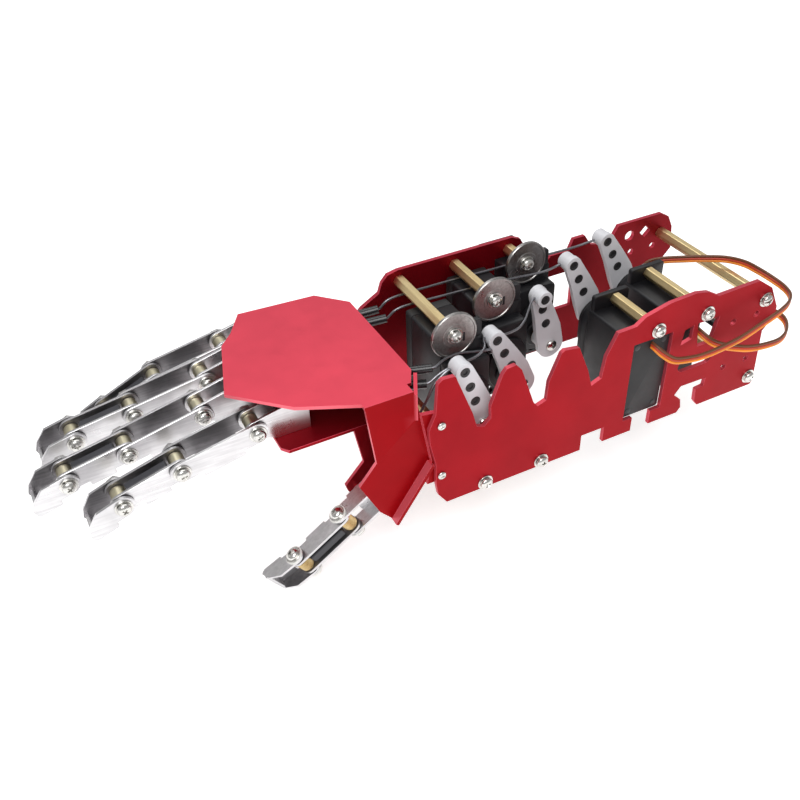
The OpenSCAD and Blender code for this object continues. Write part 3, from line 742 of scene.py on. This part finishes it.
# outer faces of the side plates, rods across the frame, palm screws
NEAR_Y, FAR_Y = 0, 74
CROSS_RODS = [(161.5, 48.7), (162.3, 6), (18.4, 3), (46.3, 3)]
PALM_SCREWS = ((-2.6, 42.3), (-2.5, 16.3))
near = CROSS_RODS + [(SHAFTS[f][0] + SHAFTS[f][4], clamp_z(f)) for f in ("ring", "pinky")]
far = CROSS_RODS + [(SHAFTS[f][0] + SHAFTS[f][4], clamp_z(f))
                    for f in ("thumb", "index", "middle")]
for spots, y, out in ((near, NEAR_Y, -1), (far, FAR_Y, 1)):
    for x, z in spots:
        at = frame_at(P(x, y, z), (0, out, 0)) @ Matrix.Rotation(rng.uniform(0, 1.5), 4, "Z")
        piece.put(FLAT_WASHER, "steel", at)
        piece.put(SPRING, "steel", at @ shift(0.4))
        piece.put(HEAD, "steel", at @ shift(0.75))
    for x, z in PALM_SCREWS:
        at = frame_at(P(x, y, z), (0, out, 0)) @ Matrix.Rotation(rng.uniform(0, 1.5), 4, "Z")
        piece.put(SMALL_HEAD, "steel", at)
for f in ("ring", "pinky"):
    sx, sz, sy, side, dx = SHAFTS[f]
    at = frame_at(P(sx + dx, sy, clamp_z(f)), (0, 1, 0))
    piece.put(HEAD, "steel", at)
piece.done(ROOT, "screw_steel", "frame_screws")

# ---------------------------------------------------------------- push wires and sleeves
WIRE_R, SLEEVE_R = 0.55, 1.9
ROUTES = {
    "thumb": [(11.6, 11.3, 58.6), (6.7, 11.5, 58.2), (3.5, 11.3, 56.5), (0, 11, 53.5),
              (-3.2, 10.5, 48), (-7, 10.3, 42), (-10.8, 10, 36), (-12.6, 10, 30),
              (-13.6, 10, 24), (-16.5, 10, 18.5), (-22, 10, 14)],
    "index": [(34.2, 25.4, 57), (30.3, 24.1, 57.3), (28.9, 20.9, 57.3), (27.2, 18.6, 56.9),
              (24.6, 17.6, 56), (20.9, 17.2, 55.2), (14, 17, 54.9), (9.4, 17, 54.4),
              (4.5, 17.2, 52.2), (1, 17.3, 50.2), (-4, 18.9, 50.2)],
    "middle": [(66.4, 37.2, 59.2), (62.4, 36.6, 59.4), (58, 33.4, 56.6), (55, 31, 54.6),
               (51, 29.6, 52.6), (45, 29.3, 52), (36.5, 29.2, 51.9), (32.8, 28.9, 52.1),
               (31.6, 27, 52.2), (31.6, 23, 52.3), (31.6, 20.6, 52.4), (31.5, 19.6, 53.4),
               (30.9, 19.4, 55), (28, 19.6, 55.1), (24, 20.4, 55.6), (16, 20.4, 57.4),
               (9, 19.4, 57.4), (4, 17.8, 56.5), (-2, 21.2, 55.5)],
    "ring": [(87.4, 47.6, 65.4), (82.6, 47.9, 64.6), (76, 51, 61.4), (58, 54, 61), (30, 56, 61),
             (9.5, 57.5, 60.4), (3, 58.7, 56.3), (-6, 61, 55)],
    "pinky": [(113.9, 58.6, 64.7), (109, 59.2, 64), (99, 61.6, 61.8), (70, 64, 61),
              (30, 65.5, 61), (9.5, 66, 60.4), (3, 66.8, 56.2), (-6, 70, 54.8)],
}
for f, route in ROUTES.items():
    path = catmull([P(*p) for p in route], 0.0012)
    obj = Piece(f + "_push_wire").put(tube(path, WIRE_R * MM, 10), "wire").done(
        None, "spring_wire", "push_wire_" + f)
    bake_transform(obj)

sleeves = Piece("wrist_sleeves")
SLEEVES = (((0.2, 17.3, 50.2), (-44, 32.7, 50.5), 0.3),
           ((3.2, 17.8, 56.5), (-58.5, 52.7, 46.5), -0.3),
           ((3.2, 58.5, 56.5), (-50.5, 71, 48.5), 0.7),
           ((3.2, 66.5, 56.5), (-38, 82, 48.5), -0.5))
for a, b, sway in SLEEVES:
    a, b = P(*a), P(*b)
    pts = []
    for k in range(9):
        t = k / 8
        s = math.sin(math.pi * 2 * t) * sway * MM
        pts.append(a.lerp(b, t) + Vector((0, s, 0)))
    path = catmull(pts, 0.002)
    sleeves.put(tube(path, SLEEVE_R * MM, 14), "sleeve")
sleeves.done(ROOT, "black_sleeve", "wire_sleeves")

# ---------------------------------------------------------------- ribbon leads
FRONT = [(100, 1.3, 44.5), (100.2, -1.6, 44.2), (102.5, -4.5, 41.8), (107, -6.4, 38.7),
         (114, -7.4, 37.4), (121, -8.2, 37.1), (131, -8.7, 38.1), (142, -8.8, 39.9),
         (152, -8.6, 43), (162, -8, 45.8), (170, -5.5, 46.8), (175.5, -1, 46.8),
         (177.5, 5, 47.3), (176, 11.5, 49), (172.5, 17.5, 51.5), (168, 22, 54),
         (161.5, 27, 55.5), (154, 33, 55), (147, 38.5, 54), (140, 43.5, 53), (134.5, 46.5, 51.7),
         (132, 47.5, 49)]
REAR = [(126.6, 11.4, 43), (126.9, 6.5, 42.4), (127.5, 1, 41.2), (129, -2.2, 39.4),
        (132, -3.9, 37.2), (136.5, -4.9, 35), (142, -6.5, 33.2), (148.5, -8.4, 31.8),
        (157, -9.4, 31), (166, -9, 30.5), (173, -6, 31), (177, -1, 32.5), (176.5, 4, 34),
        (172, 7.5, 35), (165, 9.8, 35.2), (158, 11.2, 35.2)]
# one core of a ribbon, the pitch of the cores, and the whole ribbon as a round cord
CORE_R, CORE_PITCH, LEAD_D = 0.62, 1.18, 3.6


def ribbon(name, route, node, **facts):
    path = catmull([P(*p) for p in route], 0.0012)
    piece = Piece(name)
    for k, mat in ((1, "core_brown"), (0, "core_red"), (-1, "core_orange")):
        piece.put(tube(path, CORE_R * MM, 12,
                       offset=lambda i, k=k: (0, k * CORE_PITCH * MM)), mat)
    obj = piece.done(ROOT, "ribbon_lead", node)
    return obj


plug = Piece("ribbon_plug")
lo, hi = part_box("lead_plug")
lo, hi = [v / MM for v in lo], [v / MM for v in hi]
plug.put(block(lo, hi, 0.35, 2), "plug")
for k in range(3):
    y = lo[1] + (hi[1] - lo[1]) * (k + 0.5) / 3
    contact = block((lo[0] + 2, y - 0.8, hi[2] - 0.05), (lo[0] + 6, y + 0.8, hi[2] + 0.12), 0.05, 1)
    plug.put(contact, "steel")
plug_obj = plug.done(ROOT, "plug_plastic", "lead_plug")
ribbon("front_lead", FRONT, "servo_lead_front", far_end="object")
ribbon("rear_lead", REAR, "servo_lead_rear", far_end="connector", with_pieces=[plug_obj])

# ---------------------------------------------------------------- studio
bm = bmesh.new()
bmesh.ops.create_grid(bm, x_segments=2, y_segments=2, size=4)
floor = bpy.data.objects.new("studio_floor", mesh_of(bm, "studio_floor"))
bpy.context.scene.collection.objects.link(floor)
floor.location = (0, 0, -0.0002)
m = Nodes("studio_paper")
m.set(Roughness=0.9, Emission_Color=(1, 1, 1, 1), Emission_Strength=0.60)
m.color(m.mix(m.range(m.noise(3), 0.3, 0.7, 0, 1), (0.80, 0.80, 0.80), (0.83, 0.83, 0.83)))
floor.data.materials.append(m.material)

world = bpy.data.worlds.new("studio")
bpy.context.scene.world = world
world.use_nodes = True
world.node_tree.nodes["Background"].inputs["Color"].default_value = (1, 1, 1, 1)
world.node_tree.nodes["Background"].inputs["Strength"].default_value = 0.42


def area(name, pos, target, size, power):
    data = bpy.data.lights.new(name, "AREA")
    data.shape = "RECTANGLE"
    data.size, data.size_y = size
    data.energy = power
    obj = bpy.data.objects.new(name, data)
    bpy.context.scene.collection.objects.link(obj)
    obj.location = pos
    obj.rotation_euler = (Vector(target) - Vector(pos)).to_track_quat("-Z", "Y").to_euler()


area("key", (-0.5, -0.7, 1.2), (0, 0, 0.05), (0.9, 0.9), 12)
area("top", (0.2, 0.5, 1.1), (0, 0, 0.05), (1.2, 0.6), 5)
bpy.context.scene.view_settings.view_transform = "Standard"
